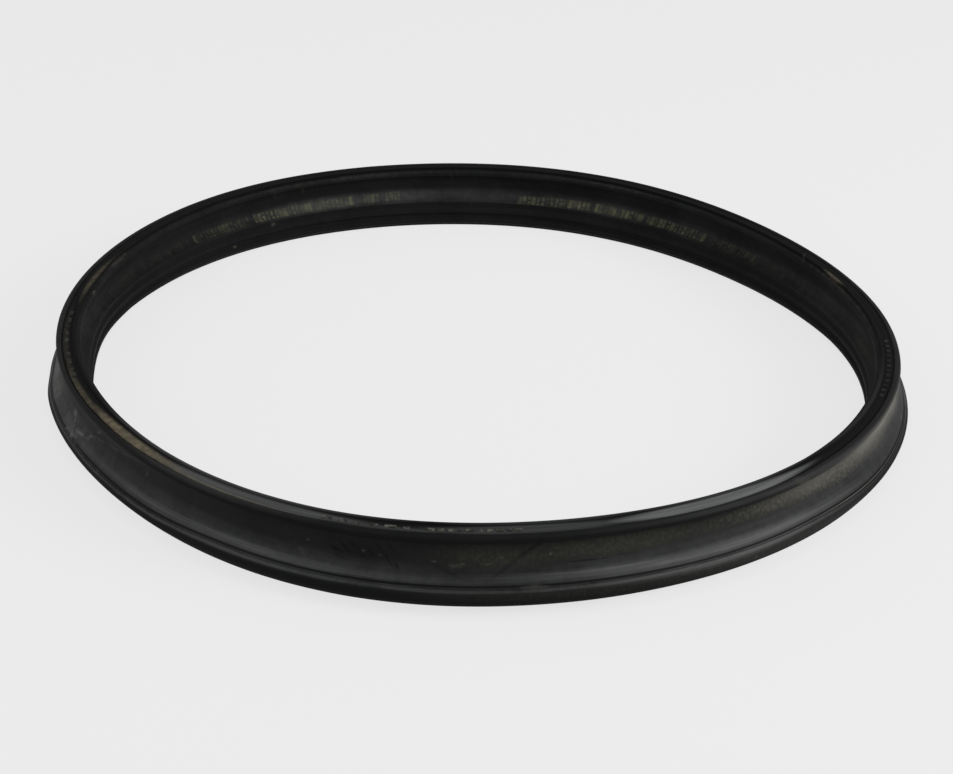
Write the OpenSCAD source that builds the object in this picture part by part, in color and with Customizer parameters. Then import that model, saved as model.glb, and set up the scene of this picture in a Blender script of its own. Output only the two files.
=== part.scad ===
// Riser seal: one moulded rubber ring that closes the gap between a corrugated
// riser pipe and the socket of a chamber. The ribs grip the riser, the bead
// presses on the socket, and the head covers the gap from above.
// The seal stands on its flat foot. The origin is the middle of the foot's
// plane and +Z is the ring's axis. All sizes are in millimetres.

/* [Ring] */
// Free bore across the tips of the ribs
bore_d = 588; // [300:2:1000]
// Height from the foot's flat to the crest of the head
seal_h = 53.6; // [50:0.2:70]

/* [Head] */
// Set-back of the head's inner face behind the rib tips
head_setback = 3.8; // [2:0.2:5]
// Width of the head across, from its inner face to its outer lip
head_w = 17.9; // [15:0.1:22]
// Depth of the head's inner face below the crest
head_inner_h = 7; // [5:0.2:8]
// Depth of the outer lip's lower edge below the crest
lip_h = 6.4; // [5:0.2:8]
// Width of the outer lip's rounded top
lip_w = 4.5; // [3:0.1:5]
// Rounding of the outer lip
lip_r = 3.6; // [1:0.1:4]
// Drop of the lip's top below the crest
lip_drop = 0.7; // [0.2:0.1:1.4]
// Width of the crest, the raised ring beside the channel
crest_w = 2.2; // [1.6:0.1:3]
// Width of the ledge inside the crest
ledge_w = 2.6; // [1.8:0.1:3.6]
// Drop of the ledge below the crest
ledge_drop = 3.2; // [2:0.1:4]
// Drop of the channel's floor below the crest
channel_drop = 1.2; // [0.6:0.1:2]
// Width of the groove between the channel and the lip
groove_w = 1.6; // [1:0.1:2.4]
// Depth of that groove below the channel's floor
groove_depth = 1.4; // [0.6:0.1:2]

/* [Web] */
// Set-back of the web's inner face behind the rib tips
web_setback = 9.6; // [8:0.1:11]
// Thickness of the web at its waist
web_t = 5.9; // [4.5:0.1:7]
// Radius of the hollow where the web's inner face runs into the foot
hollow_r = 9; // [6:0.5:10]
// Radius of the hollow under the head's inner face
throat_r = 7; // [4:0.5:8]
// Radius of the waist on the outside
waist_r = 20; // [12:1:24]
// Height above the foot where the waist starts to flare
flare_rise = 11.8; // [10:0.2:14]

/* [Foot] */
// Height of the foot, from its flat to the shoulder
foot_h = 23.2; // [20.8:0.2:26]
// Reach of the bead outside the rib tips
bead_reach = 31; // [27:0.2:36]
// Set-back of the flat's inner edge behind the rib tips
flat_setback = 4; // [3:0.2:6]
// Width of the flat that the seal stands on
flat_w = 12.8; // [10:0.2:16]
// Height of the bead's lower side over the flat
bead_lift = 2.8; // [1.6:0.2:4]
// Height of the bead's upright flank, between its two rounded corners
bead_flank = 10; // [9.5:0.1:11]
// Rounding of the bead's lower side
bead_r = 7.5; // [5:0.5:8]
// Rounding of the bead's upper side
bead_top_r = 8; // [5:0.5:9]
// Depth of the crease's edge below the shoulder
crease_drop = 1.6; // [1:0.1:2.2]
// Width of the crease between the flare and the bead
crease_w = 1; // [0.6:0.1:1.4]
// Depth of that crease
crease_depth = 0.9; // [0.4:0.1:1.4]

/* [Ribs] */
// Number of ribs that grip the riser
rib_count = 2; // [1:1:2]
// Height of the lowest rib's middle above the flat
rib_first = 5.6; // [5:0.2:6.4]
// Distance from one rib to the next
rib_pitch = 9.2; // [8.4:0.1:9.6]
// How far a rib stands out from the foot
rib_h = 2.4; // [1.6:0.1:3]
// Width of a rib at its root
rib_root_w = 6.8; // [5.6:0.1:8]
// Width of a rib at its tip
rib_tip_w = 2.8; // [2.2:0.1:3.6]

/* [Hidden] */
$fn = 180;
bore_r = bore_d / 2;
// Lean of the short upright sides, which lets the ring leave its mould
slant = 0.6;
// Heights above the flat
lip_top = seal_h - lip_drop;
ledge_y = seal_h - ledge_drop;
channel_y = seal_h - channel_drop;
head_under = seal_h - head_inner_h;
crease_y = foot_h - crease_drop;
bead_top = crease_y - 4;
// Distances outside the rib tips
crest_x = head_setback + ledge_w + slant;
lip_x = head_setback + head_w;
groove_x = lip_x - lip_w - groove_w;
web_x = web_setback + web_t;
crease_x = bead_reach - 2.8;
flat_x = flat_setback + flat_w;
// Height of the shoulder's overhang above the upper rib
shoulder_h = 1.8;
// Rise of the slope from the shoulder to the web's inner face
slope_rise = 3.8;
// Drop from the head to the web, at the inner face and under the outer lip
throat_drop = 1.6;
undercut_drop = 2.2;
// Roundings that the edges of the mould have
sharp_r = 0.3;
fine_r = 0.5;
crest_r = 0.8;
edge_r = 1.1;
undercut_r = 1.5;

// Direction from one point to another, one unit long
function toward(from, to) = (to - from) / norm(to - from);

// Arc that rounds the corner b between the sides to a and to c
function rounded(a, b, c, r) =
    let (
        u = toward(b, a),
        v = toward(b, c),
        half = acos(u * v) / 2,
        centre = b + toward([0, 0], u + v) * r / sin(half),
        from = b + u * r / tan(half) - centre,
        sweep = (180 - 2 * half) * sign(u.y * v.x - u.x * v.y),
        steps = max(2, ceil(abs(sweep) / (r > 3 ? 6 : 15)))
    )
    [for (i = [0 : steps])
        let (t = sweep * i / steps)
        centre + [from.x * cos(t) - from.y * sin(t), from.x * sin(t) + from.y * cos(t)]];

// Outline through corners [x, y, rounding], each one rounded in turn
function outline(c) =
    let (n = len(c), at = [for (p = c) [p.x, p.y]])
    [for (i = [0 : n - 1])
        each rounded(at[(i + n - 1) % n], at[i], at[(i + 1) % n], c[i].z)];

// One rib of the grip, from its lower root to its upper root
function rib(y) = [
    [rib_h, y - rib_root_w / 2, edge_r],
    [0, y - rib_tip_w / 2, fine_r],
    [0, y + rib_tip_w / 2, fine_r],
    [rib_h, y + rib_root_w / 2, edge_r],
];

// Inside of the foot: the flat's edge, the ribs and the shoulder over them
function grip_side() = [
    [flat_setback, 0, edge_r],
    for (i = [0 : rib_count - 1]) each rib(rib_first + i * rib_pitch),
    [rib_h, foot_h - shoulder_h, fine_r],
    [rib_h / 2, foot_h, fine_r],
];

// Inside of the web, hollowed between the shoulder and the head
function web_inside() = [
    [web_setback, foot_h + slope_rise, hollow_r],
    [web_setback, head_under - throat_drop, throat_r],
];

// The head from its inner face over ledge, crest, channel, groove and lip
function head_side() = [
    [head_setback, head_under, edge_r],
    [head_setback, ledge_y, edge_r],
    [head_setback + ledge_w, ledge_y + slant, fine_r],
    [crest_x, seal_h, crest_r],
    [crest_x + crest_w, seal_h, crest_r],
    [crest_x + crest_w + slant, channel_y, fine_r],
    [groove_x, channel_y, sharp_r],
    [groove_x + groove_w / 2, channel_y - groove_depth, sharp_r],
    [groove_x + groove_w, lip_top, crest_r],
    [lip_x, lip_top, lip_r],
    [lip_x, seal_h - lip_h, edge_r],
];

// Outside of the web, which flares down to the crease
function web_outside() = [
    [web_x, seal_h - lip_h - undercut_drop, undercut_r],
    [web_x, foot_h + flare_rise, waist_r],
    [crease_x, crease_y, sharp_r],
];

// The crease, the bead and the step down to the flat
function bead_side() = [
    [crease_x - slant / 2, crease_y - crease_depth, sharp_r / 2],
    [crease_x + slant, crease_y - crease_w, sharp_r],
    [bead_reach, bead_top, bead_top_r],
    [bead_reach, bead_top - bead_flank, bead_r],
    [flat_x + slant, bead_lift, edge_r],
    [flat_x, 0, edge_r],
];

// Section of the ring, drawn with the rib tips on the y axis
module section() {
    polygon(outline(concat(grip_side(), web_inside(), head_side(), web_outside(), bead_side())));
}

// The seal: its section turned round the ring's axis
module riser_seal() {
    color([0.09, 0.09, 0.095])
        rotate_extrude()
            translate([bore_r, 0])
                section();
}

riser_seal();
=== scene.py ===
"""Looks of the riser seal: a black rubber ring with its print, dust and wear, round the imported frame."""

import logging
import math
from dataclasses import dataclass
from enum import Enum

import bmesh
import bpy
from bpy.types import Material, Mesh, Node, NodeOutputs, NodeSocket, NodeTree, Object
from mathutils import Matrix, Vector

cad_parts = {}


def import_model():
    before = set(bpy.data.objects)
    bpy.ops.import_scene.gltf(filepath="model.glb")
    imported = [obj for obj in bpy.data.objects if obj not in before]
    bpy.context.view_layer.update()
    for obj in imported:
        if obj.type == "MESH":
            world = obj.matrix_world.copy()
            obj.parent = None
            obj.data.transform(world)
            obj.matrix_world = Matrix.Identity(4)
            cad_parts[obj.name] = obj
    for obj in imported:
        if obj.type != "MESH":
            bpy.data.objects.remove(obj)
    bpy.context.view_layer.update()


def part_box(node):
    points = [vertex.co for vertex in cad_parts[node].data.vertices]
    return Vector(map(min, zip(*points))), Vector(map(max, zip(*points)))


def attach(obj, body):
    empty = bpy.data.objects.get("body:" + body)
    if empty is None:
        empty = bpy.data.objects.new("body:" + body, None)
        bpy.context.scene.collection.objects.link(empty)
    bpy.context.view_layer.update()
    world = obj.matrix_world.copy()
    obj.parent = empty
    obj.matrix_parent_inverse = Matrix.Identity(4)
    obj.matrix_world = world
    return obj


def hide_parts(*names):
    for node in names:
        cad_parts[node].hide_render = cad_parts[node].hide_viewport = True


LOG = logging.getLogger("riser_seal")
MM = 0.001
PHOTO_W = 953
MOULDED = "moulded_place"
RUN = "section_run"
SKIN_RADIUS = 305.0
SKIN_DEGREE = math.radians(1.0) * SKIN_RADIUS
SOCKETS = {float: "Float", int: "Int", tuple: "Vector"}

# Steps of a pattern: where each starts and ends, and then what it gives before and after, if not 0 and 1.
STREAK_BLOOM = (0.3, 0.7, 0.15, 0.75)
CLOUD_BLOOM = (0.36, 0.64, 0.0, 0.9)
BLOTCH_BLOOM = (0.34, 0.66, 0.0, 0.5)
MARK_BREAKUP = (0.4, 0.64)
INK_WEAR = (0.35, 0.6, 0.45, 1.0)
WHOLE_BARS = (0.3, 0.7)

Colour = tuple[float, float, float]
Spot = tuple[float, float]
Inputs = dict[str | int, object]


@dataclass(frozen=True)
class ZoneTone:
    """A stretch of the section, in millimetres from the flat's inner edge, and what it adds to the rubber:
    roughness, and a pale share that is painted light, a painted highlight above 0 and painted shade below 0.
    """

    start: float
    end: float
    fade: float
    bloom_and_painted_light: float
    roughness: float


class Zone(Enum):
    """The zones of the section that have a tone of their own, which is painted light: painted highlights on
    the slope, ledge, head face, lip top, walls and bead top, and painted shade on the crest, channel,
    undercut, crease and the bead's lower side.
    """

    # The fourth number of each zone is painted light: a painted highlight where it is above 0, painted shade
    # where it is below 0.
    GRIP = ZoneTone(0, 24, 3, 0, 0.06)
    SLOPE = ZoneTone(31, 40, 5, 0.2, 0)
    HEAD_FACE = ZoneTone(46, 62, 2, 0.02, 0.1)
    LEDGE = ZoneTone(62, 66.5, 0.8, 0.08, 0.14)
    CREST = ZoneTone(66.5, 71, 0.8, -0.07, 0.26)
    CHANNEL = ZoneTone(71, 78, 0.8, -0.07, 0.26)
    LIP_TOP = ZoneTone(80, 82.5, 0.8, 0.1, 0)
    LIP = ZoneTone(79, 86.5, 1.5, 0, 0.06)
    UNDERCUT = ZoneTone(87, 97, 1, -0.06, 0.04)
    WALL = ZoneTone(97, 111, 3, 0.05, -0.1)
    LOW_WALL = ZoneTone(116.5, 121, 9, 0.38, -0.16)
    CREASE = ZoneTone(123.2, 124.1, 0.5, -1.2, 0.2)
    BEAD_TOP = ZoneTone(125, 127.6, 1, 0.7, -0.16)
    BEAD = ZoneTone(130.5, 150, 2, -0.06, 0.04)


class Grain(Enum):
    """A pattern in the rubber's surface that can break up a kind of marks."""

    CLOUDS = "Clouds"
    STREAKS = "Streaks"
    BLOTCHES = "Blotches"
    MOTTLE = "Mottle"


class Lean(Enum):
    """A way that the camera is turned: which of its look, right and up directions turns towards which."""

    PAN = (0, 1)
    TILT = (0, 2)
    ROLL = (1, 2)


class Graph:
    """A node tree, with short calls for the nodes that the seal's finishes and meshes use."""

    def __init__(self, tree: NodeTree) -> None:
        """Starts on the tree that every call adds to."""
        self.tree = tree

    def add(self, kind: str, inputs: Inputs | None = None, **settings: object) -> Node:
        """Adds one node.

        Args:
            kind: The node's Blender type.
            inputs: What each named or numbered input reads, a socket or a plain value.
            **settings: Attributes of the node.

        Returns:
            The new node.
        """
        node = self.tree.nodes.new(kind)
        for name, value in settings.items():
            setattr(node, name, value)
        for key, value in (inputs or {}).items():
            self.feed(node.inputs[key], value)
        return node

    def get(self, kind: str, inputs: Inputs | None = None, **settings: object) -> NodeSocket:
        """Adds one node and gives its first output."""
        return self.add(kind, inputs, **settings).outputs[0]

    def place(self, tree: NodeTree, inputs: Inputs) -> NodeOutputs:
        """Places one node group and gives its outputs."""
        return self.add(tree.bl_idname.replace("Tree", "Group"), inputs, node_tree=tree).outputs

    def feed(self, socket: NodeSocket, value: object) -> None:
        """Links a socket to another one, or writes a plain value on it.

        Args:
            socket: The input to feed.
            value: The output socket or the value, which is three numbers for a colour.
        """
        if isinstance(value, NodeSocket):
            self.tree.links.new(value, socket)
        else:
            socket.default_value = (*value, 1.0) if socket.type == "RGBA" else value

    def math(self, operation: str, *values: object) -> NodeSocket:
        """One sum on numbers."""
        return self.get("ShaderNodeMath", dict(enumerate(values)), operation=operation)

    def times(self, *values: object) -> NodeSocket:
        """The product of two numbers, and a third one added where it is given."""
        return self.math("MULTIPLY_ADD" if len(values) > 2 else "MULTIPLY", *values)

    def vector(self, operation: str, inputs: Inputs) -> NodeSocket:
        """One sum on vectors."""
        return self.get("ShaderNodeVectorMath", inputs, operation=operation)

    def ramp(
        self, value: object, low: object, high: object, start: object = 0.0, end: object = 1.0,
    ) -> NodeSocket:
        """A smooth step from start to end while a value goes from low to high."""
        inputs = {"Value": value, "From Min": low, "From Max": high, "To Min": start, "To Max": end}
        return self.get("ShaderNodeMapRange", inputs, interpolation_type="SMOOTHSTEP")

    def window(self, value: object, low: float, high: float, fade: float) -> NodeSocket:
        """A mask that is 1 from low to high and fades to 0 outside, over the width of the fade."""
        aside = self.math("ABSOLUTE", self.math("SUBTRACT", value, (low + high) / 2))
        return self.ramp(aside, (high - low) / 2, (high - low) / 2 + fade, 1.0, 0.0)

    def blend(self, share: object, first: object, second: object) -> NodeSocket:
        """A mix of two colours, with so large a share of the second."""
        return self.add("ShaderNodeMix", {0: share, 6: first, 7: second}, data_type="RGBA").outputs[2]

    def noise(self, place: object, scale: object, detail: float = 3.0, roughness: float = 0.5) -> NodeSocket:
        """Fractal noise from 0 to 1, with so many waves for each metre and so many octaves."""
        inputs = {"Vector": place, "Scale": scale, "Detail": detail, "Roughness": roughness}
        return self.get("ShaderNodeTexNoise", inputs)

    def combine(self, x: object, y: object, z: object) -> NodeSocket:
        """A vector of three numbers."""
        return self.get("ShaderNodeCombineXYZ", {0: x, 1: y, 2: z})

    def split(self, vector: object) -> NodeOutputs:
        """The three numbers of a vector."""
        return self.add("ShaderNodeSeparateXYZ", {0: vector}).outputs


class Group(Graph):
    """A node group with named inputs and outputs."""

    def __init__(self, name: str, inputs: dict[str, object], masks: tuple[str, ...] = ()) -> None:
        """Makes the group, of shader nodes where it puts out masks and of geometry nodes otherwise.

        Args:
            name: The group's name.
            inputs: Each input's default, or its kind of socket where it has none.
            masks: The names of its outputs. Without them it puts out geometry.
        """
        super().__init__(bpy.data.node_groups.new(name, "ShaderNodeTree" if masks else "GeometryNodeTree"))
        for label, default in inputs.items():
            if isinstance(default, str):
                self.socket(label, "INPUT", default)
            else:
                self.socket(label, "INPUT", SOCKETS[type(default)]).default_value = default
        for label in masks or ("Geometry",):
            self.socket(label, "OUTPUT", "Float" if masks else "Geometry")
        self.given = self.add("NodeGroupInput").outputs

    def socket(self, label: str, way: str, kind: str) -> bpy.types.NodeTreeInterfaceSocket:
        """Adds one input or output."""
        return self.tree.interface.new_socket(label, in_out=way, socket_type="NodeSocket" + kind)

    def end(self, results: Inputs) -> NodeTree:
        """Puts the results out and gives the finished tree."""
        self.add("NodeGroupOutput", results)
        return self.tree


class ShapeGroup(Group):
    """A group of geometry nodes, with short calls for the nodes that the seal's meshes share."""

    def store(self, shape: object, name: str, value: object, kind: str) -> NodeSocket:
        """Keeps each point's value under a name."""
        inputs = {"Geometry": shape, "Name": name, "Value": value}
        return self.get("GeometryNodeStoreNamedAttribute", inputs, data_type=kind, domain="POINT")

    def move(self, shape: object, offset: object) -> NodeSocket:
        """Moves each point by its own offset."""
        return self.get("GeometryNodeSetPosition", {"Geometry": shape, "Offset": offset})

    def real(self, shape: object) -> NodeSocket:
        """Makes a shape's instances real."""
        return self.get("GeometryNodeRealizeInstances", {"Geometry": shape})

    def dress(self, shape: object) -> NodeTree:
        """Puts a shape out, real and in the tree's finish."""
        inputs = {"Geometry": self.real(shape), "Material": self.given["Finish"]}
        return self.end({"Geometry": self.get("GeometryNodeSetMaterial", inputs)})


@dataclass
class SealSection:
    """The ring's section, in millimetres: x outward from the rib tips and y up from the foot's flat."""

    height: float
    head_setback: float = 3.8
    head_w: float = 17.9
    head_inner_h: float = 7.0
    lip_h: float = 6.4
    lip_w: float = 4.5
    lip_r: float = 3.6
    lip_drop: float = 0.7
    crest_w: float = 2.2
    ledge_w: float = 2.6
    ledge_drop: float = 3.2
    channel_drop: float = 1.2
    groove_w: float = 1.6
    groove_depth: float = 1.4
    web_setback: float = 9.6
    web_t: float = 5.9
    hollow_r: float = 9.0
    throat_r: float = 7.0
    waist_r: float = 20.0
    flare_rise: float = 11.8
    foot_h: float = 23.2
    bead_reach: float = 31.0
    flat_setback: float = 4.0
    flat_w: float = 12.8
    bead_lift: float = 2.8
    bead_flank: float = 8.0
    bead_r: float = 7.5
    bead_top_r: float = 8.0
    crease_drop: float = 3.6
    crease_w: float = 1.0
    crease_depth: float = 0.9
    rib_middles: tuple[float, ...] = (5.6, 14.8)
    rib_h: float = 2.4
    rib_root_w: float = 6.8
    rib_tip_w: float = 2.8
    slant: float = 0.6
    shoulder_h: float = 1.8
    slope_rise: float = 3.8
    throat_drop: float = 1.6
    undercut_drop: float = 2.2
    bead_shoulder: float = 4.0
    crease_inset: float = 2.8
    sharp_r: float = 0.3
    fine_r: float = 0.5
    crest_r: float = 0.8
    edge_r: float = 1.1
    undercut_r: float = 1.5
    large_r: float = 3.0
    large_step: float = 5.0
    small_step: float = 15.0
    support: float = 0.3

    @property
    def channel_in(self) -> float:
        """Where the channel's floor starts, outside the crest."""
        return self.head_setback + self.ledge_w + self.crest_w + 2 * self.slant

    @property
    def groove_x(self) -> float:
        """Where the channel's floor ends and the groove starts."""
        return self.head_setback + self.head_w - self.lip_w - self.groove_w

    @property
    def channel_y(self) -> float:
        """Height of the channel's floor."""
        return self.height - self.channel_drop

    def corners(self) -> list[tuple[float, float, float]]:
        """Lists the section's corners, from the flat up the inside and down the outside.

        Returns:
            Each corner's x and y, and the radius that rounds it.
        """
        grip = [(self.flat_setback, 0.0, self.edge_r)]
        for y in self.rib_middles:
            grip += [
                (self.rib_h, y - self.rib_root_w / 2, self.edge_r),
                (0.0, y - self.rib_tip_w / 2, self.fine_r),
                (0.0, y + self.rib_tip_w / 2, self.fine_r),
                (self.rib_h, y + self.rib_root_w / 2, self.edge_r),
            ]
        grip += [
            (self.rib_h, self.foot_h - self.shoulder_h, self.fine_r),
            (self.rib_h / 2, self.foot_h, self.fine_r),
        ]
        head_under = self.height - self.head_inner_h
        web = [
            (self.web_setback, self.foot_h + self.slope_rise, self.hollow_r),
            (self.web_setback, head_under - self.throat_drop, self.throat_r),
        ]
        ledge_y = self.height - self.ledge_drop
        crest_x = self.head_setback + self.ledge_w + self.slant
        lip_top = self.height - self.lip_drop
        lip_x = self.head_setback + self.head_w
        lip_under = self.height - self.lip_h
        head = [
            (self.head_setback, head_under, self.edge_r),
            (self.head_setback, ledge_y, self.edge_r),
            (self.head_setback + self.ledge_w, ledge_y + self.slant, self.fine_r),
            (crest_x, self.height, self.crest_r),
            (crest_x + self.crest_w, self.height, self.crest_r),
            (self.channel_in, self.channel_y, self.fine_r),
            (self.groove_x, self.channel_y, self.sharp_r),
            (self.groove_x + self.groove_w / 2, self.channel_y - self.groove_depth, self.sharp_r),
            (self.groove_x + self.groove_w, lip_top, self.crest_r),
            (lip_x, lip_top, self.lip_r),
            (lip_x, lip_under, self.edge_r),
        ]
        web_x = self.web_setback + self.web_t
        crease_x = self.bead_reach - self.crease_inset
        crease_y = self.foot_h - self.crease_drop
        bead_top = crease_y - self.bead_shoulder
        flat_x = self.flat_setback + self.flat_w
        outside = [
            (web_x, lip_under - self.undercut_drop, self.undercut_r),
            (web_x, self.foot_h + self.flare_rise, self.waist_r),
            (crease_x, crease_y, self.sharp_r),
            (crease_x - self.slant / 2, crease_y - self.crease_depth, self.sharp_r / 2),
            (crease_x + self.slant, crease_y - self.crease_w, self.sharp_r),
            (self.bead_reach, bead_top, self.bead_top_r),
            (self.bead_reach, bead_top - self.bead_flank, self.bead_r),
            (flat_x + self.slant, self.bead_lift, self.edge_r),
            (flat_x, 0.0, self.edge_r),
        ]
        return grip + web + head + outside

    def rounded(self, before: Vector, corner: Vector, after: Vector, radius: float) -> list[Vector]:
        """Points of the arc that rounds one corner.

        Args:
            before: The corner before it.
            corner: The corner itself.
            after: The corner after it.
            radius: Radius of the rounding.

        Returns:
            The arc's points, with one more beside each end where the side there is long enough.
        """
        u = (before - corner).normalized()
        v = (after - corner).normalized()
        half = u.angle(v) / 2
        run = radius / math.tan(half)
        centre = corner + (u + v).normalized() * radius / math.sin(half)
        sweep = math.copysign(math.pi - 2 * half, u.y * v.x - u.x * v.y)
        step = math.radians(self.large_step if radius > self.large_r else self.small_step)
        count = max(2, math.ceil(abs(sweep) / step))
        start = corner + u * run - centre
        arc = [centre + Matrix.Rotation(sweep * i / count, 2) @ start for i in range(count + 1)]
        if (before - corner).length - run > 2 * radius:
            arc.insert(0, corner + u * (run + self.support))
        if (after - corner).length - run > 2 * radius:
            arc.append(corner + v * (run + self.support))
        return arc

    def outline(self) -> list[Vector]:
        """Rounds all the corners.

        Returns:
            Points of the whole closed outline, in millimetres.
        """
        corners = self.corners()
        at = [Vector(c[:2]) for c in corners]
        points = []
        for i, (_, _, radius) in enumerate(corners):
            points += self.rounded(at[i - 1], at[i], at[(i + 1) % len(at)], radius)
        return points

    def host(self) -> Mesh:
        """Makes the outline a mesh of edges, in metres.

        Returns:
            The mesh, with each point's distance along it in millimetres.
        """
        points = self.outline()
        mesh = bpy.data.meshes.new("section_outline")
        places = [(p.x * MM, -p.y * MM, 0.0) for p in points]
        mesh.from_pydata(places, [(i, (i + 1) % len(points)) for i in range(len(points))], [])
        runs = [0.0]
        for before, after in zip(points, points[1:]):
            runs.append(runs[-1] + (after - before).length)
        mesh.attributes.new(RUN, "FLOAT", "POINT").data.foreach_set("value", runs)
        return mesh


def add_object(name: str, data: bpy.types.ID) -> Object:
    """Adds an object to the scene.

    Args:
        name: Its name.
        data: Its mesh, camera or lamp.

    Returns:
        The object, at the origin.
    """
    thing = bpy.data.objects.new(name, data)
    bpy.context.scene.collection.objects.link(thing)
    return thing


def tree_mesh(name: str, host: Mesh, tree: NodeTree, values: dict[str, object]) -> Object:
    """Runs a Geometry Nodes tree on a host mesh and keeps the result as a plain mesh object.

    Args:
        name: The piece's name.
        host: The mesh that the tree starts from.
        tree: The tree.
        values: The modifier's value for each of the tree's named inputs.

    Returns:
        The finished object, at the origin.
    """
    worker = add_object(name + "_work", host)
    modifier = worker.modifiers.new("shape", "NODES")
    modifier.node_group = tree
    for item in tree.interface.items_tree:
        if item.item_type == "SOCKET" and item.in_out == "INPUT" and item.name in values:
            modifier[item.identifier] = values[item.name]
    evaluated = worker.evaluated_get(bpy.context.evaluated_depsgraph_get())
    mesh = bpy.data.meshes.new_from_object(evaluated)
    mesh.name = name
    bpy.data.objects.remove(worker)
    return add_object(name, mesh)


@dataclass(frozen=True)
class Wave:
    """One wave round the ring: how often it repeats, its height in millimetres and where it first crests."""

    order: int
    height: float
    crest: float


@dataclass(frozen=True)
class Press:
    """A stretch of the section, between two fades along it, pushed out or up along one arc of the ring."""

    rise: Spot
    fall: Spot
    middle: float
    half: float
    fade: float
    out: float = 0.0
    up: float = 0.0


@dataclass(frozen=True)
class SoftShape:
    """How the soft ring gives way where it lies: out of round, leaning at its head, and pressed in places."""

    oval: tuple[Wave, ...] = (
        Wave(0, 0.3, 0), Wave(2, 2.51, -40.5), Wave(3, 1.95, 13), Wave(4, 2.34, -11.2), Wave(6, 0.82, 9.8),
    )
    lean: tuple[Wave, ...] = (
        Wave(0, -0.73, 0), Wave(1, 0.97, 126.1), Wave(2, 0.91, 41), Wave(3, 2.54, -27.6), Wave(4, 1.4, 44),
        Wave(5, 0.26, -13.5),
    )
    presses: tuple[Press, ...] = (
        Press((71, 76), (79.6, 84.1), -107, 44, 30, out=2.6),
        Press((108, 121), (126, 138), -157, 22, 16, up=-3.0),
        Press((108, 121), (126, 138), -8, 16, 22, up=-4.5),
        Press((100, 112), (150, 160), 178, 8, 8, out=-2.0),
        Press((-2, -1), (24, 44), -165, 9.5, 18, out=-3.1),
    )

    def tree(self, height: float) -> NodeTree:
        """Builds the group that moves a geometry as the ring gives way, and keeps each point's moulded place.

        Args:
            height: The ring's height, in metres, where the whole lean is reached.

        Returns:
            The group's tree.
        """
        group = ShapeGroup("soft_ring", {"Geometry": "Geometry", "Ring Height": height})
        place = group.get("GeometryNodeInputPosition")
        kept = group.store(group.given["Geometry"], MOULDED, place, "FLOAT_VECTOR")
        axes = group.split(place)
        angle = group.math("ARCTAN2", axes["Y"], axes["X"])
        up = group.math("DIVIDE", axes["Z"], group.given["Ring Height"])
        oval = self.total(group, angle, self.oval)
        out = group.times(self.total(group, angle, self.lean), up, oval)
        rise = 0.0
        for press in self.presses:
            share = self.pressed(group, angle, press)
            out = group.times(share, press.out * MM, out)
            rise = group.times(share, press.up * MM, rise)
        outward = group.vector("NORMALIZE", {0: group.combine(axes["X"], axes["Y"], 0.0)})
        aside = group.vector("SCALE", {0: outward, "Scale": out})
        shift = group.vector("ADD", {0: aside, 1: group.combine(0.0, 0.0, rise)})
        return group.end({"Geometry": group.move(kept, shift)})

    def pressed(self, group: Group, angle: NodeSocket, press: Press) -> NodeSocket:
        """The share of a press's push at each point.

        Args:
            group: The group that is built.
            angle: The angle round the ring, in radians.
            press: The press.

        Returns:
            The share.
        """
        run = group.get("GeometryNodeInputNamedAttribute", {"Name": RUN}, data_type="FLOAT")
        rise = group.ramp(run, *press.rise)
        fall = group.ramp(run, *press.fall, 1.0, 0.0)
        turn = group.math("COSINE", group.math("SUBTRACT", angle, math.radians(press.middle)))
        aside = group.math("DEGREES", group.math("ARCCOSINE", turn))
        arc = group.ramp(aside, press.half, press.half + press.fade, 1.0, 0.0)
        return group.times(group.times(rise, fall), arc)

    def total(self, group: Group, angle: NodeSocket, waves: tuple[Wave, ...]) -> NodeSocket:
        """Sums waves round the ring.

        Args:
            group: The group that is built.
            angle: The angle round the ring, in radians.
            waves: The waves.

        Returns:
            Their sum in metres.
        """
        total = 0.0
        for wave in waves:
            turn = group.times(angle, wave.order, -wave.order * math.radians(wave.crest))
            total = group.times(group.math("COSINE", turn), wave.height * MM, total)
        return total


@dataclass
class RubberRing:
    """The moulded ring: its section swept round the axis, with the slight unevenness of soft rubber."""

    section: SealSection
    bore_radius: float
    soft: NodeTree
    steps_round: int = 300
    wave_height: float = 0.00012
    wave_scale: float = 16.0

    def sizes(self) -> dict[str, object]:
        """The named sizes of its tree."""
        waves = {"Wave Height": self.wave_height, "Wave Scale": self.wave_scale}
        return {"Bore Radius": self.bore_radius, "Steps Round": self.steps_round, **waves}

    def tree(self) -> NodeTree:
        """Builds the tree that turns an outline round the axis and lets its surface wander a little.

        Returns:
            The tree.
        """
        group = ShapeGroup("ring_sweep", {"Geometry": "Geometry", **self.sizes(), "Finish": "Material"})
        given = group.given
        outline = group.get("GeometryNodeMeshToCurve", {"Mesh": given["Geometry"]})
        bore = {"Resolution": given["Steps Round"], "Radius": given["Bore Radius"]}
        circle = group.get("GeometryNodeCurvePrimitiveCircle", bore)
        swept = group.get("GeometryNodeCurveToMesh", {"Curve": circle, "Profile Curve": outline})
        wave = group.noise(group.get("GeometryNodeInputPosition"), given["Wave Scale"], detail=2.0)
        lift = group.times(group.times(wave, 2.0, -1.0), given["Wave Height"])
        offset = group.vector("SCALE", {0: group.get("GeometryNodeInputNormal"), "Scale": lift})
        eased = group.place(self.soft, {"Geometry": group.move(swept, offset)})[0]
        return group.dress(group.get("GeometryNodeSetShadeSmooth", {"Geometry": eased}))

    def build(self, finish: Material) -> Object:
        """Makes the ring and lets it stand for the CAD ring.

        Args:
            finish: The ring's material.

        Returns:
            The ring.
        """
        values = {**self.sizes(), "Finish": finish}
        ring = tree_mesh("rubber_ring", self.section.host(), self.tree(), values)
        face_outwards(ring.data)
        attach(ring, "root")
        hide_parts("riser_seal")
        return ring


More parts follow.
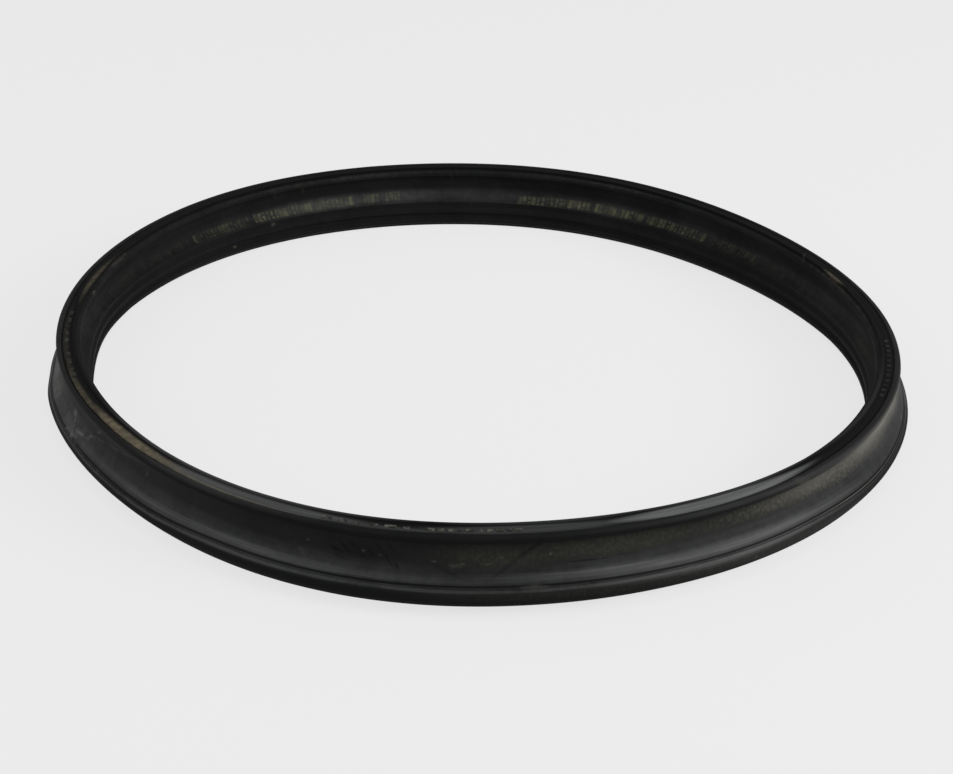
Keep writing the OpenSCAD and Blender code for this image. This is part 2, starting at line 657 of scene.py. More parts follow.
@dataclass(frozen=True)
class PipRun:
    """A run of moulded pips along the channel: its first and last angle, the pitch and a pip's size."""

    first: float
    last: float
    pitch: float
    length: float
    width: float


@dataclass
class ChannelPips:
    """The low pips that are moulded on the channel's floor."""

    section: SealSection
    bore_radius: float
    soft: NodeTree
    height: float = 0.45
    root: float = 0.3
    length: float = 4.4
    width: float = 3.4
    taper: float = 0.12
    edge: float = 0.12
    length_spread: float = 0.3
    channel_run: float = 75.0
    seed: int = 7
    runs: tuple[PipRun, ...] = (
        PipRun(-94.6, -84, 1.16, 4.4, 3.4),
        PipRun(-107, -96.8, 1.9, 6.4, 3.2),
        PipRun(-20, -3, 1.5, 4.2, 3.4),
        PipRun(-177, -158, 2.1, 6.2, 3.2),
    )

    def sizes(self) -> dict[str, object]:
        """Finds the middle of the channel's floor.

        Returns:
            The named sizes of its tree.
        """
        radius = self.bore_radius + (self.section.channel_in + self.section.groove_x) / 2 * MM
        floor = self.section.channel_y * MM
        return {"Channel Radius": radius, "Channel Floor": floor, "Channel Run": self.channel_run}

    def pip(self) -> Mesh:
        """Makes one pip: a closed, tapered block with eased edges.

        Returns:
            Its mesh.
        """
        work = bmesh.new()
        bmesh.ops.create_cube(work, size=1.0)
        for vertex in work.verts:
            top = vertex.co.z > 0
            share = 1 - self.taper if top else 1.0
            vertex.co.x *= self.length * share * MM
            vertex.co.y *= self.width * share * MM
            vertex.co.z = (self.height if top else -self.root) * MM
        edges = [e for e in work.edges if max(v.co.z for v in e.verts) > 0]
        bmesh.ops.bevel(work, geom=edges, offset=self.edge * MM, segments=2, affect="EDGES", profile=0.5)
        bmesh.ops.recalc_face_normals(work, faces=work.faces)
        mesh = bpy.data.meshes.new("pip")
        work.to_mesh(mesh)
        work.free()
        return mesh

    def run_tree(self) -> NodeTree:
        """Builds the group that lays one run of pips round the ring's axis.

        Returns:
            The group's tree.
        """
        group = ShapeGroup("pip_run", {
            "Geometry": "Geometry", "First": 0.0, "Last": 10.0, "Pitch": 1.2, "Scale": (1.0, 1.0, 1.0),
            "Radius": 0.3, "Floor": 0.05, "Spread": self.length_spread, "Seed": self.seed,
        })
        given = group.given
        reach = group.math("SUBTRACT", given["Last"], given["First"])
        steps = group.math("ADD", group.math("FLOOR", group.math("DIVIDE", reach, given["Pitch"])), 1.0)
        count = group.get("FunctionNodeFloatToInt", {0: steps}, rounding_mode="ROUND")
        line = group.get("GeometryNodeMeshLine", {"Count": count})
        index = group.get("GeometryNodeInputIndex")
        angle = group.math("RADIANS", group.times(index, given["Pitch"], given["First"]))
        x = group.times(group.math("COSINE", angle), given["Radius"])
        y = group.times(group.math("SINE", angle), given["Radius"])
        place = group.combine(x, y, given["Floor"])
        laid = group.get("GeometryNodeSetPosition", {"Geometry": line, "Position": place})
        turn = group.combine(0.0, 0.0, group.math("ADD", angle, math.pi / 2))
        low = group.math("SUBTRACT", 1.0, given["Spread"])
        high = group.math("ADD", 1.0, given["Spread"])
        draw = {2: low, 3: high, "Seed": given["Seed"]}
        random = group.add("FunctionNodeRandomValue", draw, data_type="FLOAT").outputs[1]
        size = group.vector("MULTIPLY", {0: given["Scale"], 1: group.combine(random, 1.0, 1.0)})
        pips = {"Points": laid, "Instance": given["Geometry"], "Rotation": turn, "Scale": size}
        return group.end({"Geometry": group.get("GeometryNodeInstanceOnPoints", pips)})

    def tree(self) -> NodeTree:
        """Builds the tree that joins the runs, lets them follow the soft ring and gives them their finish.

        Returns:
            The tree.
        """
        group = ShapeGroup("channel_pips", {"Geometry": "Geometry", **self.sizes(), "Finish": "Material"})
        given = group.given
        run_tree = self.run_tree()
        join = group.add("GeometryNodeJoinGeometry")
        for run in self.runs:
            laid = group.place(run_tree, {
                "Geometry": given["Geometry"], "First": run.first, "Last": run.last, "Pitch": run.pitch,
                "Scale": (run.length / self.length, run.width / self.width, 1.0),
                "Radius": given["Channel Radius"], "Floor": given["Channel Floor"],
            })
            group.feed(join.inputs[0], laid[0])
        kept = group.store(group.real(join.outputs[0]), RUN, given["Channel Run"], "FLOAT")
        return group.dress(group.place(self.soft, {"Geometry": kept})[0])

    def build(self, finish: Material) -> Object:
        """Makes the pips.

        Args:
            finish: Their material.

        Returns:
            The pips, as one piece.
        """
        pips = tree_mesh("channel_pips", self.pip(), self.tree(), {**self.sizes(), "Finish": finish})
        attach(pips, "root")
        return pips


def face_outwards(mesh: Mesh) -> None:
    """Turns a closed mesh's faces outwards.

    Args:
        mesh: The mesh, which is changed in place.
    """
    work = bmesh.new()
    work.from_mesh(mesh)
    bmesh.ops.recalc_face_normals(work, faces=work.faces)
    if work.calc_volume(signed=True) < 0:
        bmesh.ops.reverse_faces(work, faces=work.faces)
    work.to_mesh(mesh)
    work.free()


def ring_skin_group() -> NodeTree:
    """Builds the group that gives the way round the ring's skin, in millimetres from the +X side.

    Returns:
        The group's tree.
    """
    group = Group("ring_skin", {"Place": (0.0, 0.0, 0.0), "Skin Radius": SKIN_RADIUS}, ("Along",))
    axes = group.split(group.given["Place"])
    angle = group.math("ARCTAN2", axes["Y"], axes["X"])
    return group.end({"Along": group.times(angle, group.given["Skin Radius"])})


def mark_patch_group() -> NodeTree:
    """Builds the group that adds one mark on the skin to a mask: an ellipse with soft edges.

    Returns:
        The group's tree.
    """
    group = Group("mark_patch", {
        "Before": 0.0, "Along": 0.0, "Run": 0.0, "Middle Along": 0.0, "Middle Run": 0.0,
        "Half Length": 1.0, "Half Width": 1.0, "Turn": 0.0, "Softness": 0.3, "Strength": 1.0,
    }, ("Mask",))
    given = group.given
    x = group.math("SUBTRACT", given["Along"], given["Middle Along"])
    y = group.math("SUBTRACT", given["Run"], given["Middle Run"])
    cos = group.math("COSINE", given["Turn"])
    sin = group.math("SINE", given["Turn"])
    ahead = group.times(x, cos, group.times(y, sin))
    aside = group.math("SUBTRACT", group.times(y, cos), group.times(x, sin))
    u = group.math("DIVIDE", ahead, given["Half Length"])
    v = group.math("DIVIDE", aside, given["Half Width"])
    reach = group.math("SQRT", group.times(u, u, group.times(v, v)))
    inner = group.math("SUBTRACT", 1.0, given["Softness"])
    outer = group.math("ADD", 1.0, given["Softness"])
    patch = group.ramp(reach, inner, outer, given["Strength"], 0.0)
    return group.end({"Mask": group.math("MAXIMUM", given["Before"], patch)})


def rubber_grain_group() -> NodeTree:
    """Builds the group of moulded rubber's patterns: clouds, lines along the ring, blotches and mottle.

    Returns:
        The group's tree.
    """
    group = Group("rubber_grain", {
        "Place": (0.0, 0.0, 0.0), "Run": 0.0, "Cloud Scale": 20.0, "Streak Scale": 11.0,
        "Streak Stretch": 60.0, "Blotch Scale": 190.0, "Mottle Scale": 420.0,
    }, tuple(grain.value for grain in Grain))
    given = group.given
    place = given["Place"]
    axes = group.split(place)
    run = group.times(given["Run"], MM)
    lines = group.combine(axes["X"], axes["Y"], group.times(run, given["Streak Stretch"]))
    return group.end({
        Grain.CLOUDS.value: group.noise(place, given["Cloud Scale"], roughness=0.55),
        Grain.STREAKS.value: group.noise(lines, given["Streak Scale"], roughness=0.6),
        Grain.BLOTCHES.value: group.noise(place, given["Blotch Scale"], detail=2.0, roughness=0.6),
        Grain.MOTTLE.value: group.noise(place, given["Mottle Scale"], detail=1.0),
    })


def print_bars_group() -> NodeTree:
    """Builds the group that masks a row of plain printed blocks, each of its own width and strength.

    Returns:
        The group's tree.
    """
    group = Group("print_bars", {
        "Along": 0.0, "Run": 0.0, "Pitch": 4.2, "Foot": 30.0, "Top": 40.0, "Edge": 2.0, "Fade": 0.2,
        "Narrowest": 0.14, "Spread": 0.26, "Faintest": 0.4,
        "Waist Low": 32.5, "Waist Spread": 5.0, "Waist Half": 1.6,
    }, ("Mask",))
    given = group.given
    run = given["Run"]
    steps = group.math("DIVIDE", given["Along"], given["Pitch"])
    cell = {"W": group.math("FLOOR", steps)}
    aside = group.math("ABSOLUTE", group.math("SUBTRACT", group.math("FRACT", steps), 0.5))
    draw = group.split(group.add("ShaderNodeTexWhiteNoise", cell, noise_dimensions="1D").outputs["Color"])
    half = group.times(draw["X"], given["Spread"], given["Narrowest"])
    strength = group.ramp(draw["Y"], 0.0, 1.0, given["Faintest"], 1.0)
    bar = group.ramp(aside, half, group.math("ADD", half, given["Fade"]), strength, 0.0)
    rise = group.ramp(run, given["Foot"], group.math("ADD", given["Foot"], given["Edge"]))
    fall = group.ramp(run, group.math("SUBTRACT", given["Top"], given["Edge"]), given["Top"], 1.0, 0.0)
    waist = group.times(draw["Z"], given["Waist Spread"], given["Waist Low"])
    above = group.math("ABSOLUTE", group.math("SUBTRACT", run, waist))
    whole = group.ramp(above, 0.0, given["Waist Half"], group.ramp(draw["X"], *WHOLE_BARS), 1.0)
    block = group.times(bar, whole)
    return group.end({"Mask": group.times(group.times(rise, fall), block)})


@dataclass(frozen=True)
class Mark:
    """One mark on the skin. Its angle, half angle and turn are in degrees, the rest is in millimetres."""

    angle: float
    run: float
    half_angle: float
    half_run: float
    strength: float = 1.0
    softness: float = 0.4
    turn: float = 0.0


def stroke(start: Spot, end: Spot, half_width: float, strength: float = 0.8, softness: float = 0.5) -> Mark:
    """A long mark from one place on the skin to another.

    Args:
        start: Angle in degrees and distance along the section in millimetres of its start.
        end: The same of its end.
        half_width: Half its width, in millimetres.
        strength: How strongly it shows.
        softness: Width of its soft edge, as a share of its size.

    Returns:
        The mark.
    """
    along = (end[0] - start[0]) * SKIN_DEGREE
    up = end[1] - start[1]
    half = math.hypot(along, up) / 2
    turn = math.degrees(math.atan2(up, along))
    middle = ((start[0] + end[0]) / 2, (start[1] + end[1]) / 2)
    return Mark(*middle, half / SKIN_DEGREE, half_width, strength, softness, turn)


@dataclass(frozen=True)
class MarkKind:
    """Marks of one kind, which are real dirt and wear in some kinds and painted sheen in others: their
    colour, gloss, relief in millimetres, and the grain that breaks them up.
    """

    name: str
    colour: Colour
    roughness: float
    marks: tuple[Mark, ...]
    broken: float = 0.0
    grain: Grain = Grain.BLOTCHES
    lift: float = 0.0


@dataclass(frozen=True)
class Bars:
    """A group of printed bars, from one angle to another."""

    first: float
    last: float
    strength: float


@dataclass(frozen=True)
class PrintSlip:
    """A stretch from one angle to another, over which the print slips down the slope by a drop."""

    start: float
    end: float
    drop: float


DARK_LINES = MarkKind("splice_lines", (0.002, 0.002, 0.0022), 0.7, (
    stroke((-81.7, 85), (-81.7, 97.6), 0.8, 0.75, 0.8),
    stroke((-81.6, 97), (-84.6, 107.5), 1.2, 0.8, 0.9),
    stroke((-84.4, 107), (-87.4, 118.5), 1.2, 0.6, 0.9),
    stroke((-95.2, 107.5), (-90.8, 118.5), 0.9, 0.5, 0.9),
    stroke((-91.2, 86.5), (-91.2, 95.5), 0.6, 0.4, 0.9),
    stroke((-78.4, 110.6), (-73.4, 110.8), 0.5, 0.9),
    stroke((-72.6, 109.6), (-70, 110.2), 0.3, 0.6),
), broken=0.3, lift=-0.08)

SCUFFS = MarkKind("scuffs", (0.0012, 0.0012, 0.0014), 0.85, (
    stroke((-100.9, 101), (-98.6, 114), 1.1, 0.9, 0.8),
    stroke((-101.9, 103), (-100.6, 113), 0.9, 0.8, 0.8),
    stroke((-99.6, 100), (-98, 107.5), 0.7, 0.6, 0.8),
    stroke((-105.4, 102), (-103.6, 109.5), 1, 0.85, 0.8),
    stroke((-104.2, 101.5), (-103.2, 105), 0.8, 0.7, 0.8),
    stroke((-106.3, 106.5), (-104.8, 109), 1.1, 0.9, 0.8),
    stroke((-106, 111), (-103.8, 112.6), 0.8, 0.6, 0.8),
    stroke((-103.4, 107), (-101, 112.5), 1.1, 0.7, 0.8),
    stroke((-98.6, 110.5), (-98, 115), 0.9, 0.8, 0.8),
    Mark(-101.6, 108, 3.6, 5, 0.5, 0.9),
), broken=0.45, lift=-0.2)

PALE_SPOTS = MarkKind("pale_spots", (0.05, 0.05, 0.041), 0.7, (
    Mark(-80.4, 105, 0.2, 1, 1, 0.5), Mark(-91.6, 111, 0.7, 1.3, 0.4, 0.7),
    Mark(-90.7, 109.6, 0.35, 0.8, 0.5, 0.7), Mark(-94.1, 108.5, 0.36, 0.8, 0.6, 0.7),
    Mark(-100.4, 107.5, 0.25, 0.8, 0.55, 0.7), Mark(-102.4, 106, 0.25, 0.9, 0.9, 0.6),
    Mark(-88, 109.8, 0.5, 0.7, 0.45, 0.8), Mark(-86.2, 105.8, 0.25, 0.6, 0.5, 0.7),
    Mark(-109.3, 105.5, 0.2, 0.8, 0.45, 0.6), Mark(-74.4, 110.2, 0.16, 0.8, 0.6, 0.6),
    Mark(-76.4, 100.8, 0.3, 0.8, 0.4, 0.7), Mark(-134.8, 105.5, 0.14, 2.4, 0.8, 0.6),
    stroke((-147.9, 106.4), (-146.8, 103.4), 1.1, 1, 0.4),
    Mark(-62.3, 128.5, 0.3, 1, 0.5, 0.6), Mark(-54.4, 133, 0.16, 0.9, 0.8, 0.5),
    Mark(-13.2, 121.5, 0.5, 1.2, 1, 0.4),
), broken=0.6, grain=Grain.MOTTLE)

BARE_RUBBER = MarkKind("bare_rubber", (0.005, 0.005, 0.0055), 0.68, (
    Mark(-90, 114, 9, 7, 0.55, 0.9), Mark(-110, 108, 8, 4, 0.3, 0.9), Mark(-24, 119, 16, 3.5, 0.35, 0.8),
    Mark(-155, 125.8, 20, 2.4, 0.4, 0.6), Mark(-88, 125.6, 7, 2, 0.35, 0.8),
    Mark(-25, 126.8, 14, 2.6, 0.9, 0.6), Mark(-36, 81.8, 21, 3.6, 0.5, 0.8),
    Mark(150, 35, 14, 9, 0.75, 0.6), Mark(-171, 30, 11, 18, 0.5, 0.6),
))

# Painted highlights: light bands along the low wall, the bead and the lip, where these face up to the lamps.
SHEEN_BANDS = MarkKind("sheen_bands", (0.11, 0.112, 0.11), 0.6, (
    stroke((-143, 119.6), (-98, 119.6), 2, 0.5, 0.9),
    stroke((-81, 118.8), (-42, 119.6), 2.8, 0.75, 0.9),
    stroke((-70, 127.2), (-48, 128), 2.4, 0.5, 0.9),
    stroke((-132, 126.2), (-106, 126.2), 2, 0.22, 0.9),
    stroke((-62, 85.4), (-12, 86), 2, 0.25, 0.8),
    Mark(-46, 133, 14, 3, 0.14, 0.8), Mark(-123, 82.4, 13, 3, 0.2, 0.6),
), broken=0.45, grain=Grain.STREAKS)

OLIVE_MOTTLE = MarkKind("olive_mottle", (0.03, 0.03, 0.022), 0.66, (
    Mark(-72, 103, 11, 6, 0.7, 0.6), Mark(-86, 104.5, 8, 7, 0.5, 0.6),
    Mark(-56, 103.5, 9, 5.5, 0.4, 0.7), Mark(-66, 130.5, 24, 3.5, 0.3, 0.6),
), broken=0.5, grain=Grain.MOTTLE)

# Partly a real beige film, mostly a painted reflection: the bright sheen on the right wall and under the lip,
# where the rubber mirrors the pale surroundings at a grazing angle, and a thin painted highlight along the
# bead's top.
BEIGE_FILM_AND_SHEEN = MarkKind("beige_film_and_sheen", (0.135, 0.128, 0.112), 0.55, (
    Mark(-37, 102.5, 12, 5.5, 0.42, 0.8), Mark(-25, 103, 13, 6.5, 0.68, 0.8),
    stroke((-36, 95), (-5, 111), 6, 1, 0.8),
    stroke((-36, 90.4), (-2, 91.6), 4.6, 1, 0.5),
    stroke((-54, 124.7), (-10, 124.9), 0.55, 0.6, 0.5),
    Mark(-151, 97, 12, 6, 0.12, 0.9),
), broken=0.25, grain=Grain.CLOUDS)

FILM_MOTTLE = MarkKind("film_mottle", (0.17, 0.165, 0.125), 0.6, (
    Mark(-48, 102.5, 9, 4.5, 0.12, 0.8), Mark(-36, 106, 9, 5.5, 0.2, 0.8), Mark(-24, 109, 6, 4.5, 0.1, 0.8),
), broken=0.9, grain=Grain.MOTTLE)

CHALK = MarkKind("chalk", (0.085, 0.085, 0.082), 0.75, (
    Mark(-155.5, 112, 0.9, 2.2, 0.8, 0.8),
    stroke((-155, 113.5), (-153.6, 119.5), 1.6, 0.8, 0.8),
    stroke((-153.2, 118), (-149.4, 114.8), 1.1, 1, 0.7),
    Mark(-153.6, 122.5, 1.7, 2.8, 0.85, 0.8),
    stroke((-157.4, 126.5), (-154.2, 120), 1.3, 0.6, 0.8),
    stroke((-149.9, 114), (-147.6, 109.6), 0.9, 0.65, 0.7),
    stroke((-150, 112), (-135, 99), 0.8, 0.22, 0.8),
    Mark(-144.6, 125, 0.6, 0.9, 0.6, 0.7), Mark(-154, 117, 5, 6, 0.2, 0.8),
    stroke((-110.8, 109), (-109, 116), 1.2, 0.15, 0.8),
), broken=0.8)

PALE_SMEAR = MarkKind("pale_smear", (0.05, 0.049, 0.043), 0.6, (
    Mark(-171.2, 117.5, 3, 5, 0.8, 0.5), Mark(-164.9, 118, 2, 5.4, 0.8, 0.5),
    stroke((-46.6, 84), (-42.8, 99.5), 3.4, 0.65, 0.5),
    Mark(-82.6, 124.6, 1.5, 1.6, 0.5, 0.4),
    stroke((-168, 94), (-172.5, 106), 1.4, 0.35, 0.7),
), broken=0.45)

CHANNEL_DUST = MarkKind("channel_dust", (0.118, 0.102, 0.07), 0.85, (
    Mark(-138.5, 75.2, 9.5, 2.6, 1, 0.4), Mark(-126, 77, 12, 1, 0.5, 0.6),
    Mark(-152, 76.2, 9, 1.6, 0.45, 0.5), Mark(-168, 75.8, 9, 1.6, 0.15, 0.6),
    Mark(171, 71.5, 6.5, 2.4, 0.6, 0.6), Mark(18, 69.5, 2.4, 2.4, 0.6, 0.6),
), broken=0.4)

# Painted highlight: the light sheen on the channel's floor and the crest along the front, where they face up
# to the lamps.
CHANNEL_SHEEN = MarkKind("channel_sheen", (0.15, 0.153, 0.152), 0.6, (
    Mark(-117.5, 75, 14.5, 3.6, 0.42, 0.3), Mark(-100, 76.6, 8, 1.6, 0.26, 0.5),
    Mark(-83, 75.2, 12, 3.4, 0.28, 0.3), Mark(-58, 74.7, 14.5, 3.4, 0.9, 0.3),
    Mark(-121, 69, 22, 2.4, 0.3, 0.5), Mark(-80, 69, 13, 2.2, 0.22, 0.5),
    Mark(-57, 69, 18, 1.8, 0.2, 0.3), Mark(-26, 69, 14, 2.2, 0.1, 0.5),
), broken=0.35, grain=Grain.STREAKS)

LEDGE_DUST = MarkKind("ledge_dust", (0.05, 0.046, 0.036), 0.8, (
    Mark(117, 64, 14, 1.8, 0.25, 0.7), Mark(70, 64, 8, 1.8, 0.25, 0.7),
    Mark(163.5, 65.5, 3.2, 1.6, 0.7, 0.7), Mark(12, 65, 12, 1.2, 0.4, 0.7),
), broken=0.6)

INSIDE_SPOTS = MarkKind("inside_spots", (0.06, 0.056, 0.042), 0.7, (
    Mark(127, 25, 0.4, 1.6, 0.6, 0.7), Mark(134.7, 12, 0.3, 1.2, 0.8, 0.6),
    stroke((121, 60), (120.6, 50), 0.7, 0.3, 0.8),
    stroke((126.2, 60), (125.8, 50), 0.7, 0.25, 0.8),
    stroke((95.2, 61), (95, 51), 0.6, 0.25, 0.8),
    stroke((175.2, 62.5), (170.2, 47), 0.8, 0.5, 0.7),
    Mark(174.8, 63.6, 0.6, 1, 0.9, 0.6),
    stroke((27.4, 74.5), (25.6, 63.5), 0.7, 0.45, 0.7),
    Mark(4, 33, 3.5, 2.6, 0.3, 0.7),
), broken=0.3)

# Painted highlight: the light band on the inner slope across the far side, which faces up to the lamps.
SLOPE_SHEEN = MarkKind("slope_sheen", (0.07, 0.07, 0.068), 0.64, (
    Mark(117, 35.4, 9, 5.2, 0.65, 0.8), Mark(104, 35.4, 7, 5, 0.42, 0.8),
    Mark(70, 35.4, 11, 5, 0.3, 0.8), Mark(88, 35.4, 14, 5, 0.18, 0.8),
), broken=0.3)

# Real stains, dust and scuffs together with painted light: the sheens on the slope, the channel, the low wall
# and bead, and the right wall are painted highlights.
STAINS_AND_SHEENS = (
    BARE_RUBBER, OLIVE_MOTTLE, BEIGE_FILM_AND_SHEEN, FILM_MOTTLE, SHEEN_BANDS, PALE_SMEAR, CHALK, CHANNEL_SHEEN,
    CHANNEL_DUST, LEDGE_DUST, SLOPE_SHEEN, INSIDE_SPOTS, PALE_SPOTS, SCUFFS, DARK_LINES,
)

PIP_WEAR = MarkKind("worn_tops", (0.11, 0.108, 0.09), 0.7, (
    Mark(-95, 75, 15, 50, 0.85, 0.2), Mark(-168, 75, 11, 50, 0.25, 0.2), Mark(-11, 75, 10, 50, 0.12, 0.2),
), broken=0.85)

PRINT_BARS = (
    Bars(157.5, 166, 0.08), Bars(150.5, 156.5, 0.06), Bars(143.5, 149.5, 0.1), Bars(131, 142.5, 0.32),
    Bars(119.5, 130, 0.7), Bars(112, 118.5, 0.82), Bars(107.6, 110, 0.6), Bars(104, 106.2, 0.6),
    Bars(75.6, 83.6, 0.55), Bars(71, 75, 0.95), Bars(61.4, 70.2, 0.8), Bars(49, 60.4, 0.65),
    Bars(37, 48, 0.2), Bars(30, 36, 0.1), Bars(23, 27.5, 0.06),
)

PRINT_SLIPS = (PrintSlip(71, 84, 1.8), PrintSlip(86, 101, -3.4), PrintSlip(103, 118, 1.6))


class RubberGroups:
    """The shader groups that the rubber's finishes share, each built once."""

    def __init__(self) -> None:
        """Builds the groups."""
        self.skin = ring_skin_group()
        self.patch = mark_patch_group()
        self.grain = rubber_grain_group()
        self.bars = print_bars_group()


def emptied(owner: Material | bpy.types.World) -> NodeTree:
    """Empties the node tree of a material or a world.

    Args:
        owner: The material or the world.

    Returns:
        Its tree.
    """
    owner.use_nodes = True
    owner.node_tree.nodes.clear()
    return owner.node_tree


class SkinGraph(Graph):
    """The node tree of one finish, with the place on the ring's skin and the grain there."""

    def __init__(self, tree: NodeTree, groups: RubberGroups) -> None:
        """Reads the moulded place.

        Args:
            tree: The material's tree.
            groups: The shared shader groups.
        """
        super().__init__(tree)
        self.groups = groups
        moulded = self.add("ShaderNodeAttribute", attribute_name=MOULDED).outputs["Vector"]
        self.run = self.add("ShaderNodeAttribute", attribute_name=RUN).outputs["Fac"]
        self.along = self.place(groups.skin, {"Place": moulded})["Along"]
        self.grain = self.place(groups.grain, {"Place": moulded, "Run": self.run})

    def unevenness(self) -> NodeSocket:
        """Works out how much more or less bloom there is from place to place.

        Returns:
            The bloom's factor.
        """
        streaks = self.ramp(self.grain["Streaks"], *STREAK_BLOOM)
        clouds = self.ramp(self.grain["Clouds"], *CLOUD_BLOOM)
        blotches = self.ramp(self.grain["Blotches"], *BLOTCH_BLOOM)
        return self.math("ADD", self.math("ADD", streaks, clouds), blotches)

    def marked(self, mark_kind: MarkKind) -> NodeSocket:
        """Masks all the marks of one kind.

        Args:
            mark_kind: The stain.

        Returns:
            The mask.
        """
        total = 0.0
        for mark in mark_kind.marks:
            total = self.place(self.groups.patch, {
                "Before": total, "Along": self.along, "Run": self.run,
                "Middle Along": mark.angle * SKIN_DEGREE, "Middle Run": mark.run,
                "Half Length": mark.half_angle * SKIN_DEGREE, "Half Width": mark.half_run,
                "Turn": math.radians(mark.turn), "Softness": mark.softness, "Strength": mark.strength,
            })["Mask"]
        if not mark_kind.broken:
            return total
        worn = self.ramp(self.grain[mark_kind.grain.value], *MARK_BREAKUP)
        return self.times(total, self.times(worn, mark_kind.broken, 1 - mark_kind.broken))

    def printed(self, bars: tuple[Bars, ...], slips: tuple[PrintSlip, ...]) -> NodeSocket:
        """Masks the printed bars, worn thin by the rubber's blotches.

        Args:
            bars: The groups of bars.
            slips: The stretches over which the rows slip.

        Returns:
            The mask.
        """
        run = self.run
        for slip in slips:
            slipped = self.ramp(self.along, slip.start * SKIN_DEGREE, slip.end * SKIN_DEGREE, 0.0, slip.drop)
            run = self.math("ADD", run, slipped)
        row = self.place(self.groups.bars, {"Along": self.along, "Run": run})["Mask"]
        total = 0.0
        for part in bars:
            inside = self.window(self.along, part.first * SKIN_DEGREE, part.last * SKIN_DEGREE, 1.0)
            total = self.times(inside, part.strength, total)
        worn = self.ramp(self.grain["Blotches"], *INK_WEAR)
        return self.times(self.times(row, total), worn)


@dataclass(frozen=True)
class RubberFinish:
    """Black moulded rubber: its tones, its gloss, its grain and the marks that it carries, with the painted
    highlights and painted shade of its zones and sheens.
    """

    name: str
    dark: Colour = (0.0026, 0.0027, 0.003)
    bloom_and_painted_light: Colour = (0.03, 0.0305, 0.0312)
    bloom_share: float = 0.08
    roughness: float = 0.64
    roughness_spread: float = 0.16
    specular: float = 0.1
    streak_depth: float = 0.06
    blotch_depth: float = 0.04
    zones: tuple[Zone, ...] = ()
    stains_and_sheens: tuple[MarkKind, ...] = ()
    bars: tuple[Bars, ...] = ()
    slips: tuple[PrintSlip, ...] = ()
    ink: Colour = (0.105, 0.105, 0.062)

    def build(self, groups: RubberGroups) -> Material:
        """Makes the material.

        Args:
            groups: The shared shader groups.

        Returns:
            The material.
        """
        material = bpy.data.materials.new(self.name)
        graph = SkinGraph(emptied(material), groups)
        bloom_and_painted_light = self.bloom_share
        streaks = graph.grain["Streaks"]
        roughness = graph.times(streaks, self.roughness_spread, self.roughness)
        # The zones add painted highlights and painted shade to the pale share.
        for zone in self.zones:
            tone = zone.value
            inside = graph.window(graph.run, tone.start, tone.end, tone.fade)
            bloom_and_painted_light = graph.times(inside, tone.bloom_and_painted_light, bloom_and_painted_light)
            roughness = graph.times(inside, tone.roughness, roughness)
        colour = graph.blend(graph.times(bloom_and_painted_light, graph.unevenness()), self.dark, self.bloom_and_painted_light)
        height = graph.times(streaks, self.streak_depth)
        height = graph.times(graph.grain["Blotches"], self.blotch_depth, height)
        for mark_kind in self.stains_and_sheens:
            mask = graph.marked(mark_kind)
            colour = graph.blend(mask, colour, mark_kind.colour)
            roughness = graph.times(mask, mark_kind.roughness - self.roughness, roughness)
            if mark_kind.lift:
                height = graph.times(mask, mark_kind.lift, height)
        if self.bars:
            colour = graph.blend(graph.printed(self.bars, self.slips), colour, self.ink)
        surface = graph.get("ShaderNodeBsdfPrincipled", {
            "Base Color": colour, "Roughness": roughness, "Specular IOR Level": self.specular,
            "Normal": graph.get("ShaderNodeBump", {"Height": height, "Distance": MM, "Strength": 1.0}),
        })
        graph.add("ShaderNodeOutputMaterial", {"Surface": surface})
        return material


@dataclass(frozen=True)
class CameraPlace:
    """Where the photograph was taken from, and how the camera leaned."""

    distance: float = 1.5563
    elevation: float = 25.97
    focal_pixels: float = 2043.4
    aim_height: float = 0.0534
    leans: tuple[tuple[Lean, float], ...] = ((Lean.PAN, 0.054), (Lean.TILT, -1.984), (Lean.ROLL, 1.84))

    def build(self) -> None:
        """Makes the camera and sets it as the scene's."""
        rise = math.radians(self.elevation)
        back = Vector((0.0, -math.cos(rise), math.sin(rise)))
        right = Vector((1.0, 0.0, 0.0))
        axes = [-back, right, right.cross(-back)]
        for lean, angle in self.leans:
            i, k = lean.value
            axes[i], axes[k] = turned(axes[i], axes[k], angle)
        look, right, up = axes
        data = bpy.data.cameras.new("camera")
        data.lens = self.focal_pixels / PHOTO_W * data.sensor_width
        camera = add_object("camera", data)
        place = back * self.distance + Vector((0, 0, self.aim_height))
        turn = Matrix((right, up, -look)).transposed().to_4x4()
        camera.matrix_world = Matrix.Translation(place) @ turn
        bpy.context.scene.camera = camera


def turned(a: Vector, b: Vector, angle: float) -> tuple[Vector, Vector]:
    """Turns two directions at right angles in their own plane, by so many degrees from a towards b."""
    cos, sin = math.cos(math.radians(angle)), math.sin(math.radians(angle))
    return a * cos + b * sin, b * cos - a * sin


@dataclass(frozen=True)
class Softbox:
    """One soft lamp: where it hangs round the ring, how large it is and how bright."""

    name: str
    azimuth: float
    elevation: float
    power: float
    distance: float = 2.6
    width: float = 1.0
    depth: float = 0.8

    def build(self) -> None:
        """Makes the lamp, turned to the ring's middle."""
        data = bpy.data.lights.new(self.name, "AREA")
        data.shape = "RECTANGLE"
        data.size = self.width
        data.size_y = self.depth
        data.energy = self.power
        turn = math.radians(self.azimuth)
        rise = math.radians(self.elevation)
        place = Vector((math.sin(turn) * math.cos(rise), math.cos(turn) * math.cos(rise), math.sin(rise)))
        lamp = add_object(self.name, data)
        lamp.location = place * self.distance
        lamp.rotation_euler = place.to_track_quat("Z", "Y").to_euler()


SOFTBOXES = (
    Softbox("softbox_right", 105, 26, 30),
    Softbox("softbox_front_right", 120, 38, 12),
    Softbox("softbox_front_left", 240, 38, 6),
    Softbox("softbox_left", 270, 18, 7),
    Softbox("softbox_top", 0, 90, 4),
)


